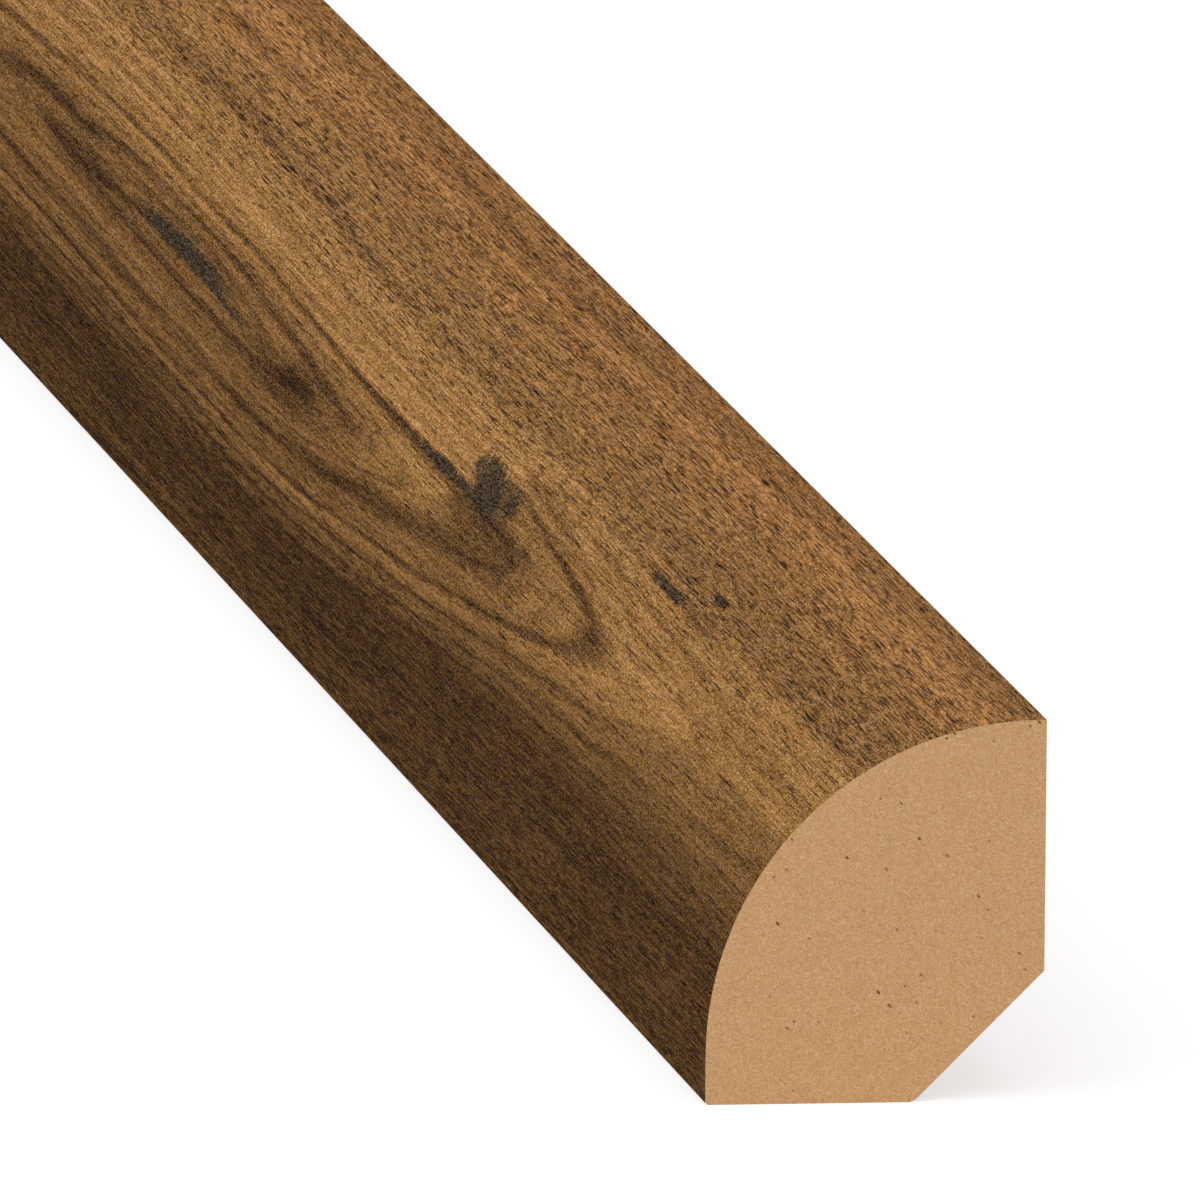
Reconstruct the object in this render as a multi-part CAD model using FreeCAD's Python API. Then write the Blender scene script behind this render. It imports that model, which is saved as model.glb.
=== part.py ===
import FreeCAD, Part
import math
import os

# Driving dimensions, in millimetres
stock_length = 2387.6    # one stick as sold, 94 inches
round_radius = 16.55     # quarter round of the show face
toe_flat = 2.5           # upright flat under the round, at the floor edge
top_flat = 0.35          # level flat behind the round, at the wall edge
heel_chamfer = 6.5       # each leg of the 45 degree relief between floor face and wall face
heel_easing = 0.8        # radius that softens the chamfer's floor edge
foil_thickness = 0.15    # printed wrap with its glue line
foil_setback = 0.1       # strip of bare core left under the wrap at the toe

# The finished section: toe at -X, wall face at +X, floor at Z = 0, the stick centred on the origin
section_height = toe_flat + round_radius
section_depth = top_flat + round_radius
toe_x = -section_depth / 2
wall_x = section_depth / 2
sawn_end_y = -stock_length / 2
round_centre_x = toe_x + round_radius
round_centre_z = toe_flat
half_quarter = math.pi / 4


def point(x, z):
    return FreeCAD.Vector(x, sawn_end_y, z)


def straight(start, end):
    return Part.LineSegment(start, end).toShape()


def arc(start, middle, end):
    return Part.Arc(start, middle, end).toShape()


def show_face(inset, lowest_z):
    """Toe flat, quarter round and top flat, set in from the finished face, from the toe to the wall."""
    radius = round_radius - inset
    toe_bottom = point(toe_x + inset, lowest_z)
    round_start = point(toe_x + inset, round_centre_z)
    round_middle = point(
        round_centre_x - radius * math.cos(half_quarter),
        round_centre_z + radius * math.sin(half_quarter),
    )
    round_end = point(round_centre_x, section_height - inset)
    wall_edge = point(wall_x, section_height - inset)
    return [
        straight(toe_bottom, round_start),
        arc(round_start, round_middle, round_end),
        straight(round_end, wall_edge),
    ]


def heel_and_floor():
    """Wall face, chamfered heel with its eased edge, and floor face, from the wall edge to the toe."""
    turn = half_quarter
    setback = heel_easing * math.tan(turn / 2)
    heel_x = wall_x - heel_chamfer
    wall_edge = point(wall_x, section_height - foil_thickness)
    chamfer_top = point(wall_x, heel_chamfer)
    easing_top = point(heel_x + setback * math.cos(turn), setback * math.sin(turn))
    easing_middle = point(
        heel_x - setback + heel_easing * math.sin(turn / 2),
        heel_easing - heel_easing * math.cos(turn / 2),
    )
    easing_bottom = point(heel_x - setback, 0)
    toe_bottom = point(toe_x + foil_thickness, 0)
    return [
        straight(wall_edge, chamfer_top),
        straight(chamfer_top, easing_top),
        arc(easing_top, easing_middle, easing_bottom),
        straight(easing_bottom, toe_bottom),
    ]


def core_outline():
    """The fibreboard under the wrap, milled to the profile in one pass."""
    return show_face(foil_thickness, 0) + heel_and_floor()


def foil_outline():
    """The wrap, of even thickness over toe, round and top, trimmed flush at the wall."""
    wall_trim = straight(
        point(wall_x, section_height),
        point(wall_x, section_height - foil_thickness),
    )
    toe_trim = straight(
        point(toe_x, foil_setback),
        point(toe_x + foil_thickness, foil_setback),
    )
    outer = show_face(0, foil_setback)
    glued = show_face(foil_thickness, foil_setback)
    return outer + [wall_trim] + glued[::-1] + [toe_trim]


def stick(outline):
    """An outline run along the whole length and sawn square at both ends."""
    section = Part.Face(Part.Wire(outline))
    return section.extrude(FreeCAD.Vector(0, stock_length, 0))


os.makedirs("parts", exist_ok=True)
stick(core_outline()).exportStep("parts/mdf_core.step")
stick(foil_outline()).exportStep("parts/decor_foil.step")
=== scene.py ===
import math

import bmesh
import bpy
from mathutils import Matrix, Vector


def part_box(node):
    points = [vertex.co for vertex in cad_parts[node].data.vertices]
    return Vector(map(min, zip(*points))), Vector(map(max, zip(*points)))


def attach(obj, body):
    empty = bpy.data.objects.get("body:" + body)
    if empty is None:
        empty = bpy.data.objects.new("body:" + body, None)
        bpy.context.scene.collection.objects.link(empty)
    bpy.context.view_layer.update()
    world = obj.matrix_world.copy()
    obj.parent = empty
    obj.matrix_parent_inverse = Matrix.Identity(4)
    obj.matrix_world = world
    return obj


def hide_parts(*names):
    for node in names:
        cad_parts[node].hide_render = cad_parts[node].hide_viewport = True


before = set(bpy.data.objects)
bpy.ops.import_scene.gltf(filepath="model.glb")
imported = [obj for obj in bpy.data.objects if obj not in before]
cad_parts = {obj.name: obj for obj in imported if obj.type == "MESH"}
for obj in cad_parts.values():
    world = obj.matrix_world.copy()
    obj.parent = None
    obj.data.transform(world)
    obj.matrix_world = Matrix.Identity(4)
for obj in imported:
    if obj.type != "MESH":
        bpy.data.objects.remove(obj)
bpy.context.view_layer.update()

scene = bpy.context.scene
scene.view_settings.view_transform = "Standard"
millimetre = 0.001

coreLow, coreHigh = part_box("mdf_core")
foilLow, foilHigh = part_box("decor_foil")
nearEnd = coreLow.y          # the sawn end that faces the camera
stickLength = coreHigh.y - nearEnd


# Small helpers for the node trees
class Bench:
    def __init__(self, owner):
        # an empty node tree on a material or a world
        owner.use_nodes = True
        self.tree = owner.node_tree
        self.tree.nodes.clear()

    def new(self, kind, **settings):
        node = self.tree.nodes.new(kind)
        for key, value in settings.items():
            setattr(node, key, value)
        return node

    def plug(self, value, socket):
        # a socket gets a link, a plain value is set
        if isinstance(value, bpy.types.NodeSocket):
            self.tree.links.new(value, socket)
        else:
            socket.default_value = value

    def calc(self, operation, *values):
        node = self.new("ShaderNodeMath", operation=operation)
        for value, socket in zip(values, node.inputs):
            self.plug(value, socket)
        return node.outputs[0]

    def sum(self, *values):
        total = values[0]
        for value in values[1:]:
            total = self.calc("ADD", total, value)
        return total

    def ease(self, value, low, high, toLow=0.0, toHigh=1.0):
        # smooth step from one value to another
        node = self.new("ShaderNodeMapRange", interpolation_type="SMOOTHSTEP")
        for number, socket in zip((value, low, high, toLow, toHigh), node.inputs):
            self.plug(number, socket)
        return node.outputs[0]

    def vector(self, x, y, z=0.0):
        node = self.new("ShaderNodeCombineXYZ")
        for value, socket in zip((x, y, z), node.inputs):
            self.plug(value, socket)
        return node.outputs[0]

    def vectorCalc(self, operation, *values):
        node = self.new("ShaderNodeVectorMath", operation=operation)
        for value, socket in zip(values, node.inputs):
            self.plug(value, socket)
        return node.outputs["Value" if operation == "DOT_PRODUCT" else "Vector"]

    def noise(self, place, detail=2.0, roughness=0.5, colour=False):
        node = self.new("ShaderNodeTexNoise")
        self.plug(place, node.inputs["Vector"])
        node.inputs["Scale"].default_value = 1.0
        node.inputs["Detail"].default_value = detail
        node.inputs["Roughness"].default_value = roughness
        return node.outputs["Color" if colour else "Fac"]

    def swing(self, place, amount, detail=2.0, roughness=0.5):
        # noise about zero
        centred = self.calc("SUBTRACT", self.noise(place, detail, roughness), 0.5)
        return self.calc("MULTIPLY", centred, amount * 2)

    def ramp(self, value, stops):
        node = self.new("ShaderNodeValToRGB")
        elements = node.color_ramp.elements
        while len(elements) < len(stops):
            elements.new(1.0)
        for element, (place, colour) in zip(elements, stops):
            element.position = place
            element.color = colour if isinstance(colour, tuple) else (colour, colour, colour, 1)
        self.plug(value, node.inputs["Fac"])
        return node.outputs["Color"]

    def blend(self, share, first, second):
        node = self.new("ShaderNodeMix", data_type="RGBA")
        self.plug(share, node.inputs[0])
        self.plug(first, node.inputs[6])
        self.plug(second, node.inputs[7])
        return node.outputs[2]

    def gamma(self, colour, power):
        node = self.new("ShaderNodeGamma")
        self.plug(colour, node.inputs["Color"])
        node.inputs["Gamma"].default_value = power
        return node.outputs[0]

    def cells(self, place, dimensions="3D"):
        # scattered cells: distance from a cell's middle, and two random numbers for each cell
        node = self.new("ShaderNodeTexVoronoi", voronoi_dimensions=dimensions)
        node.inputs["Scale"].default_value = 1.0
        self.plug(place, node.inputs["Vector"])
        pick = self.new("ShaderNodeSeparateColor")
        self.plug(node.outputs["Color"], pick.inputs[0])
        return node.outputs["Distance"], pick.outputs[0], pick.outputs[1]

    def relief(self, height, strength, depth, shader):
        node = self.new("ShaderNodeBump")
        node.inputs["Strength"].default_value = strength
        node.inputs["Distance"].default_value = depth
        self.plug(height, node.inputs["Height"])
        self.plug(node.outputs[0], shader.inputs["Normal"])


def paint(red, green, blue):
    # a screen colour, 0 to 255, as the linear colour that nodes take
    linear = [
        c / 12.92 if c <= 0.04045 else ((c + 0.055) / 1.055) ** 2.4
        for c in (red / 255, green / 255, blue / 255)
    ]
    return (*linear, 1.0)


def newMaterial(name, kindOfBench=Bench):
    material = bpy.data.materials.new(name)
    bench = kindOfBench(material)
    shader = bench.new("ShaderNodeBsdfPrincipled")
    output = bench.new("ShaderNodeOutputMaterial")
    bench.plug(shader.outputs[0], output.inputs["Surface"])
    return material, bench, shader


# Walnut print, laid out on the unrolled show face:
# u runs in millimetres from the toe to the wall, v along the stick from the near end
walnut = {
    "stretch": 1.487,        # millimetres of stick to one step of v
    "middle": 14.0,          # u of the figure's middle line at the near end
    "eyePlace": 140.0,       # v of the eye, where the growth rings close
    "ringPeak": 6.0,         # most rings between the eye and the next waist
    "nearRing": 20.0,        # length of one ring towards the near end
    "farRing": 26.0,         # and towards the far end
    "toeRing": 1.0,          # width of one ring towards the toe
    "wallRing": 0.9,         # and towards the wall
    "seam": 0.7,             # half the width over which the two sides merge
    "ringSpan": 20.0,        # rings that the charts below cover
    "toeRings": [            # ring number and tone, from the eye to the toe
        (0.0, 0.38), (0.45, 0.42), (0.75, 0.62), (1.1, 0.5), (1.38, 0.26), (1.58, 0.54), (2.45, 0.66),
        (2.56, 0.47), (2.75, 0.68), (2.95, 0.52), (3.1, 0.4), (3.3, 0.32), (3.46, 0.52), (3.7, 0.62),
        (4.24, 0.57), (4.42, 0.19), (4.52, 0.66), (4.9, 0.66), (5.1, 0.52), (5.22, 0.34), (5.35, 0.55),
        (5.8, 0.48), (6.0, 0.28), (6.12, 0.47), (6.5, 0.43), (6.72, 0.24), (6.9, 0.38), (7.5, 0.31),
        (8.3, 0.3), (10.3, 0.35), (11.2, 0.41), (14.0, 0.4),
    ],
    "wallRings": [           # and from the eye to the wall
        (0.0, 0.38), (0.4, 0.42), (0.75, 0.65), (1.05, 0.4), (1.25, 0.63), (1.65, 0.54), (1.82, 0.34),
        (1.98, 0.28), (2.14, 0.58), (2.48, 0.67), (2.58, 0.54), (2.72, 0.73), (3.1, 0.7), (3.28, 0.42),
        (3.4, 0.4), (3.55, 0.71), (3.9, 0.8), (4.1, 0.66), (4.3, 0.82), (4.9, 0.87), (5.12, 0.7),
        (5.3, 0.84), (5.6, 0.83), (5.85, 0.72), (6.1, 0.83), (7.1, 0.84), (8.1, 0.73), (10.6, 0.79),
        (11.7, 0.77), (13.4, 0.8), (14.4, 0.9), (15.8, 0.75),
    ],
    "plainToe": [            # the toe side where its rings fade, near the sawn end
        (0.0, 0.5), (3.7, 0.57), (5.6, 0.5), (6.6, 0.42), (7.4, 0.36), (8.2, 0.34), (10.3, 0.35),
        (11.2, 0.41), (14.0, 0.42),
    ],
    "palette": [             # tone to colour
        (0.0, paint(42, 29, 18)), (0.25, paint(73, 50, 28)), (0.5, paint(108, 77, 43)),
        (0.75, paint(145, 104, 59)), (1.0, paint(184, 136, 82)),
    ],
    "redPalette": [          # and the same on the redder wall side
        (0.0, paint(44, 30, 19)), (0.25, paint(75, 50, 28)), (0.5, paint(110, 76, 44)),
        (0.75, paint(148, 103, 59)), (1.0, paint(190, 135, 81)),
    ],
    "poreColour": paint(36, 26, 20),
    "knotColour": paint(59, 50, 39),
    "shades": [              # v, u, reach along, reach across, lean for some, change of tone
        # near the sawn end
        (16, 13.0, 34, 2.2, 0.14), (15, 9.6, 50, 1.4, 0.1), (15, 20.4, 34, 2.4, -0.05),
        (6, 14.0, 8, 0.4, -0.1), (12, 15.2, 16, 1.0, -0.12),
        # round the two small knots
        (37, 18.75, 4, 0.3, -0.2), (53, 18.85, 8, 0.22, -0.2), (33, 18.4, 6, 0.14, -0.25),
        (36.5, 20.7, 2.5, 0.4, 0.1), (38, 21.5, 12, 1.5, -0.05),
        # on and beside the cathedral tips
        (38, 15.0, 8, 0.8, -0.06),
        (36, 13.0, 10, 1.0, 0.06), (40.5, 13.7, 2.5, 0.9, 0.12), (49.5, 13.9, 2.8, 0.9, 0.17),
        (58, 14.2, 9, 1.4, 0.06), (57.5, 15.35, 3.0, 1.0, 9.0, 0.15), (60, 15.0, 5, 0.8, -0.05),
        (62, 17.0, 9, 0.7, 0.06), (66, 11.0, 10, 0.8, -0.05),
        # round the large knot and beyond it
        (68, 13.9, 5, 0.9, -0.12), (70.5, 15.5, 2.4, 0.9, -0.12), (75, 17.3, 5, 0.5, 0.14),
        (86, 13.2, 8, 0.8, 0.06), (86, 13.1, 12, 0.7, 0.05), (92, 14.76, 10, 0.3, -0.2),
        (95, 15.35, 18, 0.3, 0.12), (95, 13.2, 45, 1.4, 0.07), (95, 9.0, 20, 1.0, -0.06),
        # where the rings turn before the eye
        (109, 12.3, 2.6, 0.7, -0.12), (110, 12.2, 4, 0.8, -0.14), (112.5, 12.1, 9, 1.1, -0.15),
        (116, 12.0, 2.6, 0.6, 0.1), (112, 11.0, 10, 0.8, -0.11), (119, 8.6, 1.5, 1.2, -0.08),
        # beside the eye and behind it
        (140, 13.65, 22, 0.5, -0.07), (150, 15.0, 30, 0.9, 0.08), (156.5, 12.42, 6, 0.45, -20, -0.2),
        (159, 12.3, 8, 0.35, -0.16), (165, 12.5, 6, 0.5, -0.1),
        # towards the wall
        (25, 25.0, 30, 1.0, 0.08), (95, 22.0, 25, 1.6, 0.05), (105, 25.0, 30, 1.2, -0.06),
        (165, 25.0, 18, 1.2, 0.07),
    ],
    "bends": [               # v, u, reach along, reach across, rings pushed outward
        (50, 14.2, 9, 1.2, 0.1), (66, 13.6, 8, 1.8, -0.35), (70, 16.6, 6, 0.9, -0.55),
        (75, 9.7, 10, 1.2, -0.15), (92, 10.7, 8, 0.9, 0.25), (140, 8.0, 30, 0.8, -0.2),
        (145, 15.4, 14, 0.7, 0.3), (168, 13.3, 9, 0.7, 0.5),
    ],
    "knots": [               # v, u, reach along, reach across, lean
        (142.5, 12.82, 12.5, 0.62, 0), (133, 12.42, 4.5, 0.4, 22),      # the eye and its tip
        (74.2, 15.74, 3.8, 1.65, 1.6), (73.5, 14.95, 4, 0.5, 0),        # large knot and its foot
        (69.4, 15.8, 1.3, 0.9, 0.8), (78.2, 16.2, 1, 0.6, 0.3),         # marks on either side of it
        (81, 14.78, 8, 0.36, 0),                                        # streak behind it
        (42.3, 18.68, 4.2, 0.4, 0), (36, 20.1, 1.4, 0.42, 1),           # two small knots
    ],
    "knotEdge": (0.22, 0.75, 0.0, 0.92),    # from no knot to a whole one
    "hatchLean": 1.76,       # slanted hatching that breaks the knots' edges
    "hatchGap": 0.5,
    "hatchStrength": 0.45,
    "grain": {               # noise: size across, size along, layer, strength, detail
        "wander": (5.0, 45.0, 3.1, 0.35, 2.0),
        "drift": (1000.0, 230.0, 8.4, 3.2, 2.0),
        "frayAcross": (0.5, 2.4, 4.4, 0.3, 3.0),
        "frayAlong": (0.1, 2.0, 7.7, 1.6, 2.0),
        "ringWaver": (0.6, 16.0, 1.7, 0.11, 2.0),
        "ringFray": (0.08, 2.0, 5.2, 0.14, 1.0),
        "fibres": (0.06, 3.4, 2.6, 0.2, 1.0),
        "threads": (0.15, 18.0, 3.7, 0.22, 2.0),
        "poreWaver": (0.9, 7.0, 11.0, 0.045, 2.0),
        "poreRows": (0.15, 24.0, 6.1, 0.75, 2.0),
        # print dots, their pale specks partly painted glints of the embossed foil
        "dots": (0.055, 0.17, 6.6, 0.32, 0.0),
        "ink": (0.06, 0.2, 1.9, 0.2, 0.0),
    },
    "frayRoughness": 0.65,   # of the fray across
    "ringGrain": {           # noise that follows the rings: lines to a ring, length, strength
        "streaks": (2.2, 60.0, 0.15),
        "hairs": (8.0, 14.0, 0.22),
        "bands": (1.5, 70.0, 0.2),
        "poreBands": (1.3, 120.0, 0.3),
    },
    "bandLayer": 9.1,
    "poreLayer": 3.3,
    "acrossFades": {         # u where it starts and ends, value before and after
        "threads": (3.0, 12.0, 1.1, 1.0),
        "poresByToe": (4.0, 11.0, 0.5, 0.0),
        "dots": (4.0, 20.0, 0.62, 1.0),
        "hatch": (13.4, 14.4, 0.2, 1.0),
        "calm": (15.5, 20.0, 1.0, 0.5),
        "poresByWall": (16.0, 20.0, -0.17, 0.26),
        "bands": (17.0, 21.0, 0.0, 1.0),
        "redness": (20.0, 25.0, 0.0, 1.0),
    },
    "alongFades": {          # v where it starts and ends, value before and after
        "toeRings": (12.0, 52.0, 0.25, 1.0),
        "hairs": (15.0, 55.0, 0.25, 1.0),
        "toeReach": (34.0, 70.0, 0.0, 4.2),
        "toeReturn": (70.0, 82.0, 1.0, 0.0),
        "middleSinks": (40.0, 108.0, 0.0, -1.7),
        "middleRises": (112.0, 140.0, 0.0, 0.35),
        "bands": (50.0, 100.0, 0.5, 1.0),
        "drift": (170.0, 320.0, 0.0, 1.0),
    },
    "pores": [               # width, length, shift, crowding below which a cell has none
        (0.1, 3.2, 40.0, 0.46), (0.072, 2.1, 90.0, 0.24),
    ],
    "poreSize": 0.4,         # widest reach of a pore in its cell
    "poreEdge": 0.8,         # part of it that is fully dark
    "faintPore": 0.5,        # strength of the faintest
    "warmth": 0.008,         # lift of red and green
    "inkInGreen": -0.15,
    "screenGamma": 2.2,
    "roughness": 0.55,
    "poreDullness": 0.15,    # added roughness in a pore
    "shine": 0.0,
    "reliefStrength": 0.35,
    "reliefDepth": 0.00003,  # metres
}


# Bench that knows its place on the print
class PrintBench(Bench):
    def __init__(self, material):
        super().__init__(material)
        layout = self.new("ShaderNodeUVMap", uv_map="printLayout")
        split = self.new("ShaderNodeSeparateXYZ")
        self.plug(layout.outputs[0], split.inputs[0])
        self.u = split.outputs[0]
        self.v = self.calc("DIVIDE", split.outputs[1], walnut["stretch"])
        self.frayedU = self.sum(self.u, self.grain("frayAcross", walnut["frayRoughness"]))
        self.frayedV = self.sum(self.v, self.grain("frayAlong"))
        self.upright = self.vector(self.frayedV, self.frayedU)

    def grain(self, name, roughness=0.5):
        across, along, layer, strength, detail = walnut["grain"][name]
        place = self.vector(self.calc("DIVIDE", self.u, across), self.calc("DIVIDE", self.v, along), layer)
        return self.swing(place, strength, detail, roughness)

    def ringGrain(self, name, rings, layer):
        lines, length, strength = walnut["ringGrain"][name]
        across = self.calc("MULTIPLY", rings, lines)
        return self.swing(self.vector(across, self.calc("DIVIDE", self.v, length), layer), strength)

    def across(self, name):
        return self.ease(self.u, *walnut["acrossFades"][name])

    def along(self, name):
        return self.ease(self.v, *walnut["alongFades"][name])

    def spot(self, along, across, reachAlong, reachAcross, lean=0):
        # a mark with frayed edges: 1 in its middle and 1 / e at its reach
        # a lean slides it along the stick as it goes across
        place = self.upright
        if lean:
            slid = self.calc("SUBTRACT", self.frayedV, self.calc("MULTIPLY", self.frayedU, lean))
            place = self.vector(slid, self.frayedU)
        scale = (1 / reachAlong, 1 / reachAcross, 0)
        start = ((lean * across - along) / reachAlong, -across / reachAcross, 0)
        away = self.vectorCalc("MULTIPLY_ADD", place, scale, start)
        return self.calc("POWER", 1 / math.e, self.vectorCalc("DOT_PRODUCT", away, away))


def ringField(b):
    # growth rings: closed ovals round the eye, and open lines along the stick farther out
    drift = b.calc("MULTIPLY", b.grain("drift"), b.along("drift"))
    middle = b.sum(walnut["middle"], b.along("middleSinks"), b.along("middleRises"), drift)
    aside = b.calc("SUBTRACT", b.sum(b.u, b.grain("wander")), middle)
    toeSide = b.calc("DIVIDE", b.calc("MINIMUM", aside, 0.0), walnut["toeRing"])
    wallSide = b.calc("DIVIDE", b.calc("MAXIMUM", aside, 0.0), walnut["wallRing"])
    width = b.sum(toeSide, wallSide)
    past = b.calc("SUBTRACT", b.v, walnut["eyePlace"])
    nearTurn = b.calc("DIVIDE", b.calc("MINIMUM", past, 0.0), walnut["ringPeak"] * walnut["nearRing"])
    farTurn = b.calc("DIVIDE", b.calc("MAXIMUM", past, 0.0), walnut["ringPeak"] * walnut["farRing"])
    height = b.calc("MULTIPLY", b.calc("SINE", b.sum(nearTurn, farTurn)), walnut["ringPeak"])
    square = b.sum(b.calc("MULTIPLY", width, width), b.calc("MULTIPLY", height, height))
    rings = b.calc("SQRT", square)
    for *place, push in walnut["bends"]:
        rings = b.calc("MULTIPLY_ADD", b.spot(*place), push, rings)

    # 0 on the toe side and 1 on the wall side; the toe side reaches across before the large knot
    reach = b.calc("MULTIPLY", b.along("toeReach"), b.along("toeReturn"))
    side = b.ease(b.calc("SUBTRACT", aside, reach), -walnut["seam"], walnut["seam"])
    return rings, side


def ringTone(b, rings, side):
    ragged = b.sum(rings, b.grain("ringWaver"), b.grain("ringFray"))
    place = b.calc("DIVIDE", ragged, walnut["ringSpan"])
    charts = {}
    for name in ("toeRings", "wallRings", "plainToe"):
        charts[name] = b.ramp(place, [(ring / walnut["ringSpan"], tone) for ring, tone in walnut[name]])
    toeTone = b.blend(b.along("toeRings"), charts["plainToe"], charts["toeRings"])
    return b.blend(side, toeTone, charts["wallRings"])


def streakTone(b, rings, side):
    # streaks and hairs follow the rings, threads run straight, broad bands show by the wall
    streaks = b.ringGrain("streaks", rings, side)
    hairs = b.calc("MULTIPLY", b.ringGrain("hairs", rings, side), b.along("hairs"))
    threads = b.calc("MULTIPLY", b.grain("threads"), b.across("threads"))
    fine = b.calc("MULTIPLY", b.sum(streaks, hairs, threads), b.across("calm"))
    bandShare = b.calc("MULTIPLY", b.across("bands"), b.along("bands"))
    bands = b.calc("MULTIPLY", b.ringGrain("bands", rings, walnut["bandLayer"]), bandShare)
    return b.sum(fine, bands)


def knotShare(b):
    knots = b.spot(*walnut["knots"][0])
    for place in walnut["knots"][1:]:
        knots = b.calc("MAXIMUM", knots, b.spot(*place))
    slant = b.calc("SUBTRACT", b.v, b.calc("MULTIPLY", b.u, walnut["hatchLean"]))
    lines = b.vector(b.calc("DIVIDE", slant, walnut["hatchGap"]), b.u)
    hatch = b.calc("MULTIPLY", b.swing(lines, walnut["hatchStrength"]), b.across("hatch"))
    return b.ease(b.sum(knots, hatch), *walnut["knotEdge"])


def poreShare(b, rings):
    # short dark dashes in rows, crowded by the wall and few in the pale middle
    rows = b.sum(b.ringGrain("poreBands", rings, walnut["poreLayer"]), b.grain("poreRows"))
    crowd = b.sum(b.across("poresByWall"), b.across("poresByToe"), rows)
    line = b.sum(b.u, b.grain("poreWaver"))
    share = 0.0
    for width, length, shift, fewest in walnut["pores"]:
        across = b.calc("DIVIDE", b.sum(line, shift), width)
        away, number, other = b.cells(b.vector(across, b.calc("DIVIDE", b.v, length)), "2D")
        size = b.ease(b.sum(number, crowd), fewest, 1.0, 0.0, walnut["poreSize"])
        dash = b.ease(away, size, b.calc("MULTIPLY", size, walnut["poreEdge"]))
        dash = b.calc("MULTIPLY", dash, b.ease(other, 0.0, 1.0, walnut["faintPore"], 1.0))
        share = b.calc("MAXIMUM", share, dash)
    return share


def addDotsAndGlints(b, colour, dots):
    # the print's own dots, as strong on dark as on light, their pale side partly painted glints of the
    # embossed foil, and dots of ink that shift the colour
    grain = b.calc("MULTIPLY", dots, b.across("dots"))
    ink = b.grain("ink")
    red = b.sum(walnut["warmth"], grain)
    green = b.sum(red, b.calc("MULTIPLY", ink, walnut["inkInGreen"]))
    blue = b.sum(grain, ink)
    onScreen = b.gamma(colour, 1 / walnut["screenGamma"])
    return b.gamma(b.vectorCalc("ADD", onScreen, b.vector(red, green, blue)), walnut["screenGamma"])


def walnutPrint():
    material, b, shader = newMaterial("walnutPrint", PrintBench)
    rings, side = ringField(b)
    fibres = b.grain("fibres")
    tone = b.sum(ringTone(b, rings, side), streakTone(b, rings, side), fibres)
    for *place, change in walnut["shades"]:
        tone = b.calc("MULTIPLY_ADD", b.spot(*place), change, tone)
    brown = b.ramp(tone, walnut["palette"])
    colour = b.blend(b.across("redness"), brown, b.ramp(tone, walnut["redPalette"]))
    colour = b.blend(knotShare(b), colour, walnut["knotColour"])
    pores = poreShare(b, rings)
    colour = b.blend(pores, colour, walnut["poreColour"])
    # print dots, their pale specks partly painted glints of the embossed foil; the same noise also gives the
    # relief
    dots = b.grain("dots")
    b.plug(addDotsAndGlints(b, colour, dots), shader.inputs["Base Color"])
    dull = b.calc("MULTIPLY_ADD", pores, walnut["poreDullness"], walnut["roughness"])
    b.plug(dull, shader.inputs["Roughness"])
    shader.inputs["Specular IOR Level"].default_value = walnut["shine"]
    b.relief(b.sum(fibres, dots), walnut["reliefStrength"], walnut["reliefDepth"], shader)
    return material


# Raw fibreboard: matted fibres, dust, dark flecks and a slow mottle; sizes in millimetres
fibreboard = {
    "base": paint(199, 153, 107),
    "pale": paint(232, 196, 152),
    "dark": paint(158, 112, 66),
    "fleck": paint(112, 68, 36),
    "fibreWidth": 0.055,
    "fibreLength": 0.34,
    "fibreEdge": (0.6, 0.78),               # noise from no fibre to a whole one
    "paleTurns": (0.1, 0.9, 1.7, 2.5),      # ways that the fibres lie, in radians
    "darkTurns": (0.5, 1.3, 2.1, 2.9),
    "paleShift": 3.1,
    "darkShift": 7.7,
    "paleStrength": 0.37,
    "darkStrength": 0.36,
    "curlSize": 0.7,
    "curl": 0.3,
    "mottleSize": 1.6,
    "mottle": (0.4, 0.75, 0.0, 0.09),       # noise low and high, share of dark there
    "dustSize": 0.06,
    "dustTurn": 0.9,
    "paleDust": (0.5, 0.75, 0.0, 0.36),
    "darkDust": (0.5, 0.25, 0.0, 0.36),
    "fleckGap": 0.5,                        # between the places where a fleck may lie
    "fleckStretch": 1.7,
    "fleckTurn": 0.8,
    "fleckFraySize": 0.12,
    "fleckFray": 0.12,                      # in gaps, as the reach
    "fleckReach": (0.3, 1.0, 0.0, 0.15),    # three places in ten hold none, the rest reach up to this
    "fleckStrength": (0.0, 1.0, 0.5, 0.95),
    "tilt": (0.2, 1.0, 0.3),                # share of a turn about each axis
    "slide": (1.0, 0.7, 0.4),               # share of a shift along each axis
    "roughness": 0.85,
    "shine": 0.1,
    "reliefStrength": 0.3,
    "reliefDepth": 0.00004,                 # metres
}


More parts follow.
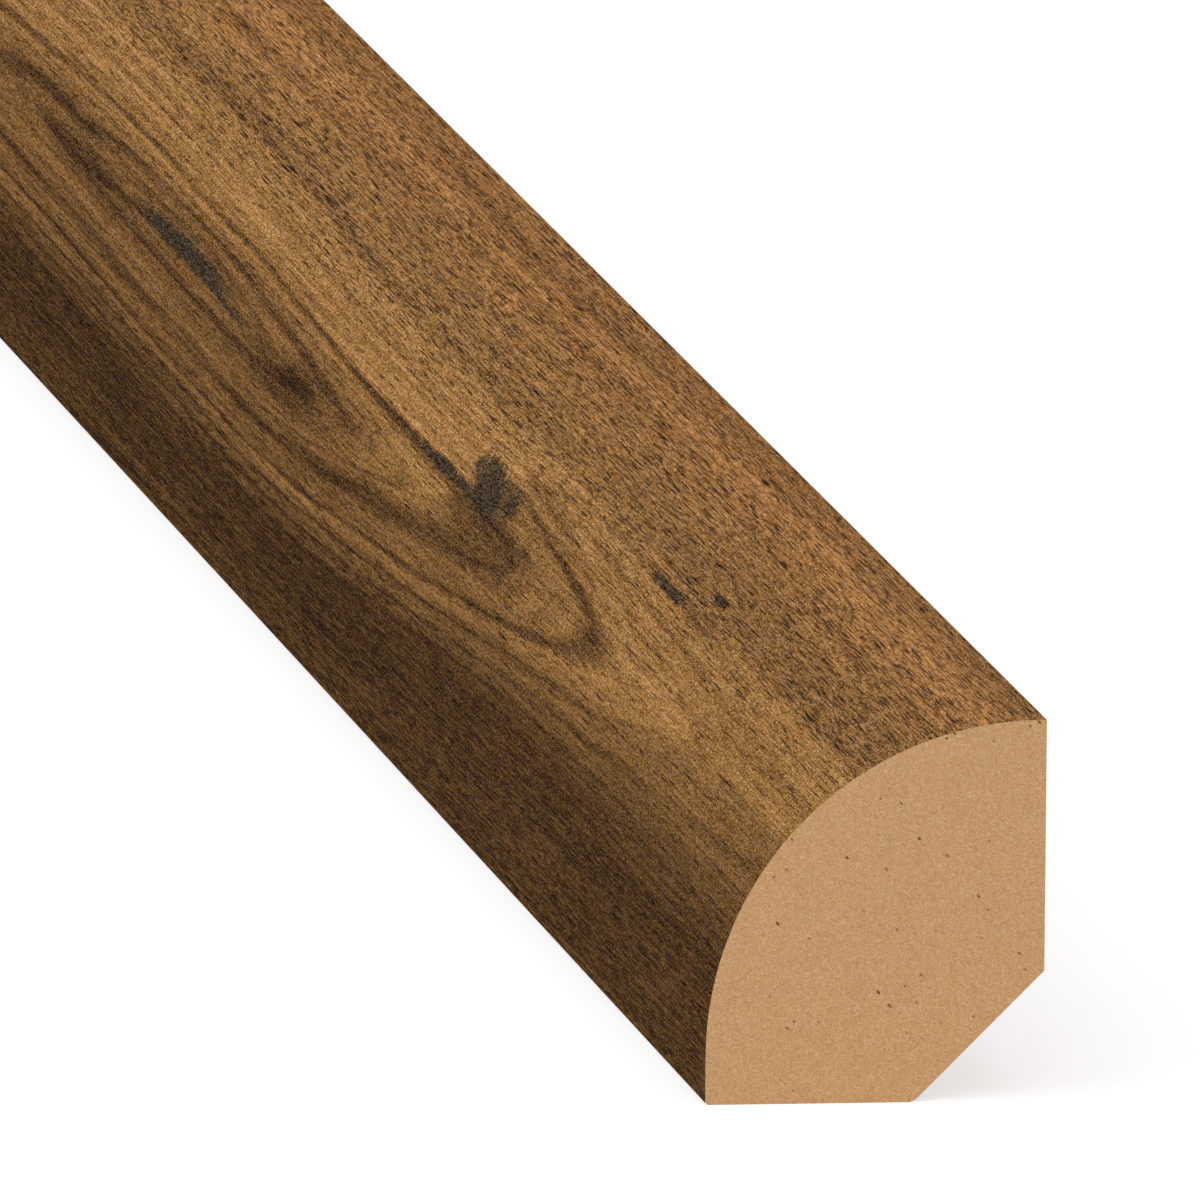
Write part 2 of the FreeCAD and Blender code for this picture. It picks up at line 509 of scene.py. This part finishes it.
def rawFibreboard(name):
    material, b, shader = newMaterial(name)
    inside = b.new("ShaderNodeTexCoord").outputs["Object"]

    def scaled(size, stretch=1.0, turn=0.0, shift=0.0, place=inside):
        node = b.new("ShaderNodeMapping", vector_type="TEXTURE")
        b.plug(place, node.inputs["Vector"])
        small = size * millimetre
        node.inputs["Location"].default_value = [shift * millimetre * share for share in fibreboard["slide"]]
        node.inputs["Rotation"].default_value = [turn * share for share in fibreboard["tilt"]]
        node.inputs["Scale"].default_value = (small * stretch, small, small)
        return node.outputs[0]

    # fibres lie every way and curl a little
    bend = (fibreboard["curl"] * millimetre,) * 3
    swirl = b.noise(scaled(fibreboard["curlSize"]), 1.0, colour=True)
    curled = b.vectorCalc("MULTIPLY_ADD", swirl, bend, inside)

    def fibres(turns, shift):
        width = fibreboard["fibreWidth"]
        longer = fibreboard["fibreLength"] / width
        most = 0.0
        for turn in turns:
            layer = b.noise(scaled(width, longer, turn, shift, curled), 0.0)
            most = b.calc("MAXIMUM", most, layer)
        return b.ease(most, *fibreboard["fibreEdge"])

    paleFibres = fibres(fibreboard["paleTurns"], fibreboard["paleShift"])
    darkFibres = fibres(fibreboard["darkTurns"], fibreboard["darkShift"])
    mottle = b.noise(scaled(fibreboard["mottleSize"]), 3.0)
    dust = b.noise(scaled(fibreboard["dustSize"], 1.0, fibreboard["dustTurn"]), 1.0)
    colour = b.blend(b.ease(mottle, *fibreboard["mottle"]), fibreboard["base"], fibreboard["dark"])
    colour = b.blend(b.ease(dust, *fibreboard["paleDust"]), colour, fibreboard["pale"])
    colour = b.blend(b.ease(dust, *fibreboard["darkDust"]), colour, fibreboard["dark"])
    colour = b.blend(b.calc("MULTIPLY", darkFibres, fibreboard["darkStrength"]), colour, fibreboard["dark"])
    colour = b.blend(b.calc("MULTIPLY", paleFibres, fibreboard["paleStrength"]), colour, fibreboard["pale"])

    # flecks of bark, each of its own size and strength
    fray = b.noise(scaled(fibreboard["fleckFraySize"]), 1.0, colour=True)
    spread = scaled(fibreboard["fleckGap"], fibreboard["fleckStretch"], fibreboard["fleckTurn"])
    frayed = b.vectorCalc("MULTIPLY_ADD", fray, (fibreboard["fleckFray"],) * 3, spread)
    away, number, other = b.cells(frayed)
    fleck = b.calc("LESS_THAN", away, b.ease(number, *fibreboard["fleckReach"]))
    fleck = b.calc("MULTIPLY", fleck, b.ease(other, *fibreboard["fleckStrength"]))
    b.plug(b.blend(fleck, colour, fibreboard["fleck"]), shader.inputs["Base Color"])

    shader.inputs["Roughness"].default_value = fibreboard["roughness"]
    shader.inputs["Specular IOR Level"].default_value = fibreboard["shine"]
    height = b.calc("SUBTRACT", paleFibres, darkFibres)
    b.relief(height, fibreboard["reliefStrength"], fibreboard["reliefDepth"], shader)
    return material


# The section's own sizes, in metres; the rest comes from the parts in model.glb
profile = {
    "toeFlat": 0.0025,       # upright flat under the round
    "heelChamfer": 0.0065,   # 45 degree relief between floor and wall
    "heelEasing": 0.0008,    # soft edge where the chamfer meets the floor
    "roundSteps": 56,        # faces round the quarter circle
    "easingSteps": 6,
    "stations": 48,          # lengths that the stick is divided into
    "sharpAngle": 20.0,      # degrees, edges above this stay sharp
}
roundRadius = foilHigh.z - profile["toeFlat"]
roundCentre = Vector((foilLow.x + roundRadius, profile["toeFlat"]))
foilThickness = foilHigh.z - coreHigh.z


# Outlines are lists of (x, z); the show face runs from the toe to the wall
def showFace(inset, lowest):
    radius = roundRadius - inset
    points = [Vector((foilLow.x + inset, lowest))]
    for step in range(profile["roundSteps"] + 1):
        angle = math.pi / 2 * step / profile["roundSteps"]
        points.append(roundCentre + radius * Vector((-math.cos(angle), math.sin(angle))))
    points.append(Vector((foilHigh.x, foilHigh.z - inset)))
    return points


# From the chamfer's wall edge, round the eased edge, to the floor
def heelAndFloor():
    turn = math.pi / 4
    easing = profile["heelEasing"]
    setback = easing * math.tan(turn / 2)
    heel = coreHigh.x - profile["heelChamfer"]
    points = [Vector((coreHigh.x, profile["heelChamfer"]))]
    centre = Vector((heel - setback, easing))
    for step in range(profile["easingSteps"] + 1):
        angle = turn * (1 - step / profile["easingSteps"])
        points.append(centre + easing * Vector((math.sin(angle), -math.cos(angle))))
    return points


def sweep(bm, outline):
    # rings of vertices along the stick, and the side faces between them
    count = profile["stations"]
    places = [nearEnd + stickLength * step / count for step in range(count + 1)]
    rows = [[bm.verts.new((p.x, y, p.y)) for p in outline] for y in places]
    sides = []
    for station, (row, after) in enumerate(zip(rows, rows[1:])):
        for i in range(len(outline)):
            j = (i + 1) % len(outline)
            sides.append((bm.faces.new((row[i], row[j], after[j], after[i])), station, i))
    return rows, sides


def runningLength(outline):
    # distance round the section at each corner, and back to the first
    lengths = [0.0]
    for before, point in zip(outline, outline[1:] + outline[:1]):
        lengths.append(lengths[-1] + (point - before).length)
    return lengths


def finishMesh(name, bm, materials):
    bmesh.ops.recalc_face_normals(bm, faces=bm.faces)
    for face in bm.faces:
        face.smooth = True
    limit = math.radians(profile["sharpAngle"])
    for edge in bm.edges:
        edge.smooth = len(edge.link_faces) == 2 and edge.calc_face_angle(0) < limit
    mesh = bpy.data.meshes.new(name)
    bm.to_mesh(mesh)
    bm.free()
    for material in materials:
        mesh.materials.append(material)
    piece = bpy.data.objects.new(name, mesh)
    scene.collection.objects.link(piece)
    return piece


# Layout of the baked maps, in shares of their width and height
bakedMap = {
    "margin": 0.002,
    "stripFill": 0.98,                  # the rest of a strip is the gap to the next one
    "coreStrips": 4,
    "coreSides": (0.002, 0.66),         # from and up to
    "coreEnds": (0.665, 0.995),
    "coreEndLeft": 0.01,
    "coreEndPitch": 0.32,
    "coreEndWidth": 0.29,
    "nearStations": 4,                  # in a strip of their own, so that the near end stays sharp
    "foilStrips": 4,
    "foilShown": (0.002, 0.902),
    "foilGlued": (0.906, 0.936),
    "foilWallTrim": (0.94, 0.955),
    "foilToeTrim": (0.958, 0.973),
    "foilEndsLow": 0.976,
    "foilEndPitch": 0.012,
    "foilEndHeight": 0.01,
    "foilEndFill": 0.9,
}


def insideMargin(share):
    return bakedMap["margin"] + (1 - 2 * bakedMap["margin"]) * share


def layStrips(layer, faces, lengths, strips, low, high):
    # unrolled faces in strips, one above the other; each strip holds so many stations
    places = {}
    for number, count in enumerate(strips):
        for k in range(count):
            places[len(places)] = (number, k / count, (k + 1) / count)
    first = min(lengths[i] for face, station, i in faces)
    span = max(lengths[i + 1] for face, station, i in faces) - first
    pitch = (high - low) / len(strips)
    for face, station, i in faces:
        number, left, right = places[station]
        base = low + pitch * number
        lower = base + pitch * bakedMap["stripFill"] * (lengths[i] - first) / span
        upper = base + pitch * bakedMap["stripFill"] * (lengths[i + 1] - first) / span
        corners = ((left, lower), (left, upper), (right, upper), (right, lower))
        for loop, (x, y) in zip(face.loops, corners):
            loop[layer].uv = (insideMargin(x), y)


def makeCore(materials):
    bm = bmesh.new()
    outline = showFace(foilThickness, 0.0) + heelAndFloor()
    rows, sides = sweep(bm, outline)
    ends = [bm.faces.new(rows[0]), bm.faces.new(rows[-1])]
    baked = bm.loops.layers.uv.new("OFBake")
    strips = [profile["stations"] // bakedMap["coreStrips"]] * bakedMap["coreStrips"]
    layStrips(baked, sides, runningLength(outline), strips, *bakedMap["coreSides"])
    low, high = bakedMap["coreEnds"]
    for number, end in enumerate(ends):
        left = bakedMap["coreEndLeft"] + bakedMap["coreEndPitch"] * number
        for loop in end.loops:
            place = loop.vert.co
            across = (place.x - coreLow.x) / (coreHigh.x - coreLow.x)
            upward = (place.z - coreLow.z) / (coreHigh.z - coreLow.z)
            loop[baked].uv = (left + bakedMap["coreEndWidth"] * across, low + (high - low) * upward)
    return finishMesh("fibreboardStick", bm, materials)


def makeFoil(materials):
    bm = bmesh.new()
    outer = showFace(0.0, foilLow.z)
    glued = showFace(foilThickness, foilLow.z)
    outline = outer + glued[::-1]
    rows, sides = sweep(bm, outline)
    count = len(outline)
    last = len(outer) - 1
    ends = []
    for row in (rows[0], rows[-1]):
        for i in range(last):
            ends.append(bm.faces.new((row[i], row[i + 1], row[count - 2 - i], row[count - 1 - i])))
    lengths = runningLength(outline)

    # millimetres for the print, the same on the glued side as on the shown side
    layout = bm.loops.layers.uv.new("printLayout")
    place = {}
    for row in rows:
        for i, vert in enumerate(row):
            across = lengths[min(i, count - 1 - i)]
            place[vert] = ((across + foilLow.z) / millimetre, (vert.co.y - nearEnd) / millimetre)
    for face in bm.faces:
        face.material_index = 1
        for loop in face.loops:
            loop[layout].uv = place[loop.vert]

    # the baked map: shown side, glued side, the two trimmed edges and the ends
    baked = bm.loops.layers.uv.new("OFBake")
    parts = {"foilShown": [], "foilGlued": [], "foilWallTrim": [], "foilToeTrim": []}
    for side in sides:
        face, station, i = side
        if i < last:
            face.material_index = 0
            parts["foilShown"].append(side)
        elif i == last:
            parts["foilWallTrim"].append(side)
        elif i < count - 1:
            parts["foilGlued"].append(side)
        else:
            parts["foilToeTrim"].append(side)
    near = bakedMap["nearStations"]
    shownStrips = [near] + [(profile["stations"] - near) // bakedMap["foilStrips"]] * bakedMap["foilStrips"]
    for name, faces in parts.items():
        strips = shownStrips if name == "foilShown" else [profile["stations"]]
        layStrips(baked, faces, lengths, strips, *bakedMap[name])
    for number, end in enumerate(ends):
        left = insideMargin((number % last) / last)
        right = left + bakedMap["foilEndFill"] / last
        low = bakedMap["foilEndsLow"] + bakedMap["foilEndPitch"] * (number // last)
        high = low + bakedMap["foilEndHeight"]
        for loop, corner in zip(end.loops, ((left, low), (right, low), (right, high), (left, high))):
            loop[baked].uv = corner
    return finishMesh("walnutFoil", bm, materials)


print("making the fibreboard stick")
core = makeCore([rawFibreboard("rawFibreboard")])
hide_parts("mdf_core")
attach(core, "root")

print("making the walnut wrap")
foil = makeFoil([walnutPrint(), rawFibreboard("foilPaper")])
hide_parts("decor_foil")
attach(foil, "root")

# White floor and soft light
studio = {
    "floorSize": 240.0,
    "floorWhite": 0.8,       # the floor as it lights the stick
    "seenWhite": 0.4,        # the floor as the camera sees it: part takes the shadow, part glows
    "seenGlow": 0.68,
    "skyFill": 0.44,
    "lamps": [               # name, level on a face square to it, where it stands
        ("softKey", 0.58, (-0.15, -0.55, 0.8)),
        ("sideFill", 0.2, (-0.98, -0.2, 0.05)),
    ],
    "softness": 60.0,        # degrees
}


def grey(level):
    return (level, level, level, 1)


def seenRays(b):
    # camera, mirror and glass rays see the backdrop itself
    path = b.new("ShaderNodeLightPath")
    seen = b.calc("MAXIMUM", path.outputs["Is Camera Ray"], path.outputs["Is Glossy Ray"])
    return b.calc("MAXIMUM", seen, path.outputs["Is Transmission Ray"])


def whiteFloor():
    material = bpy.data.materials.new("whiteFloor")
    b = Bench(material)
    plain = b.new("ShaderNodeBsdfDiffuse")
    plain.inputs["Color"].default_value = grey(studio["floorWhite"])
    shaded = b.new("ShaderNodeBsdfDiffuse")
    shaded.inputs["Color"].default_value = grey(studio["seenWhite"])
    glow = b.new("ShaderNodeEmission")
    glow.inputs["Strength"].default_value = studio["seenGlow"]
    seen = b.new("ShaderNodeAddShader")
    b.plug(shaded.outputs[0], seen.inputs[0])
    b.plug(glow.outputs[0], seen.inputs[1])
    mix = b.new("ShaderNodeMixShader")
    b.plug(seenRays(b), mix.inputs[0])
    b.plug(plain.outputs[0], mix.inputs[1])
    b.plug(seen.outputs[0], mix.inputs[2])
    output = b.new("ShaderNodeOutputMaterial")
    b.plug(mix.outputs[0], output.inputs["Surface"])
    return material


def makeFloor():
    half = studio["floorSize"] / 2
    corners = [(-half, -half, 0), (half, -half, 0), (half, half, 0), (-half, half, 0)]
    mesh = bpy.data.meshes.new("whiteFloor")
    mesh.from_pydata(corners, [], [(0, 1, 2, 3)])
    mesh.materials.append(whiteFloor())
    floor = bpy.data.objects.new("whiteFloor", mesh)
    scene.collection.objects.link(floor)


def makeLight():
    world = bpy.data.worlds.new("whiteRoom")
    scene.world = world
    b = Bench(world)
    sky = b.new("ShaderNodeBackground")
    sky.inputs["Color"].default_value = grey(1)
    b.plug(b.ease(seenRays(b), 0.0, 1.0, studio["skyFill"], 1.0), sky.inputs["Strength"])
    output = b.new("ShaderNodeOutputWorld")
    b.plug(sky.outputs[0], output.inputs["Surface"])
    for name, level, place in studio["lamps"]:
        lamp = bpy.data.lights.new(name, "SUN")
        lamp.energy = level * math.pi
        lamp.angle = math.radians(studio["softness"])
        standing = bpy.data.objects.new(name, lamp)
        standing.rotation_euler = Vector(place).to_track_quat("Z", "Y").to_euler()
        scene.collection.objects.link(standing)


# Long lens, above and to the left of the stick, looking at its near end
cameraView = {
    "offAxis": 12.0,         # degrees between the view and the stick's length
    "swing": 46.121,         # degrees round the stick, from level on the toe side to straight above
    "roll": 0.539,           # degrees
    "distance": 2.6508,      # metres, as the rest
    "aimX": -0.013943,       # point of the near end's plane in the middle of the picture
    "aimZ": 0.025329,
    "clipStart": 0.1,
    "clipEnd": 300.0,
    "lens": 1611.14,         # millimetres
    "sensor": 36.0,
}


def makeCamera():
    offAxis = math.radians(cameraView["offAxis"])
    swing = math.radians(cameraView["swing"])
    back = Vector((
        -math.sin(offAxis) * math.cos(swing),
        -math.cos(offAxis),
        math.sin(offAxis) * math.sin(swing),
    ))
    right = Vector((0, 0, 1)).cross(back).normalized()
    level = Matrix((right, back.cross(right), back)).transposed()
    turn = level @ Matrix.Rotation(math.radians(cameraView["roll"]), 3, "Z")
    data = bpy.data.cameras.new("longLens")
    data.lens = cameraView["lens"]
    data.sensor_width = cameraView["sensor"]
    data.clip_start = cameraView["clipStart"]
    data.clip_end = cameraView["clipEnd"]
    camera = bpy.data.objects.new("longLens", data)
    aim = Vector((cameraView["aimX"], nearEnd, cameraView["aimZ"]))
    camera.matrix_world = Matrix.Translation(aim + back * cameraView["distance"]) @ turn.to_4x4()
    scene.collection.objects.link(camera)
    scene.camera = camera


print("setting the floor, the light and the camera")
makeFloor()
makeLight()
makeCamera()
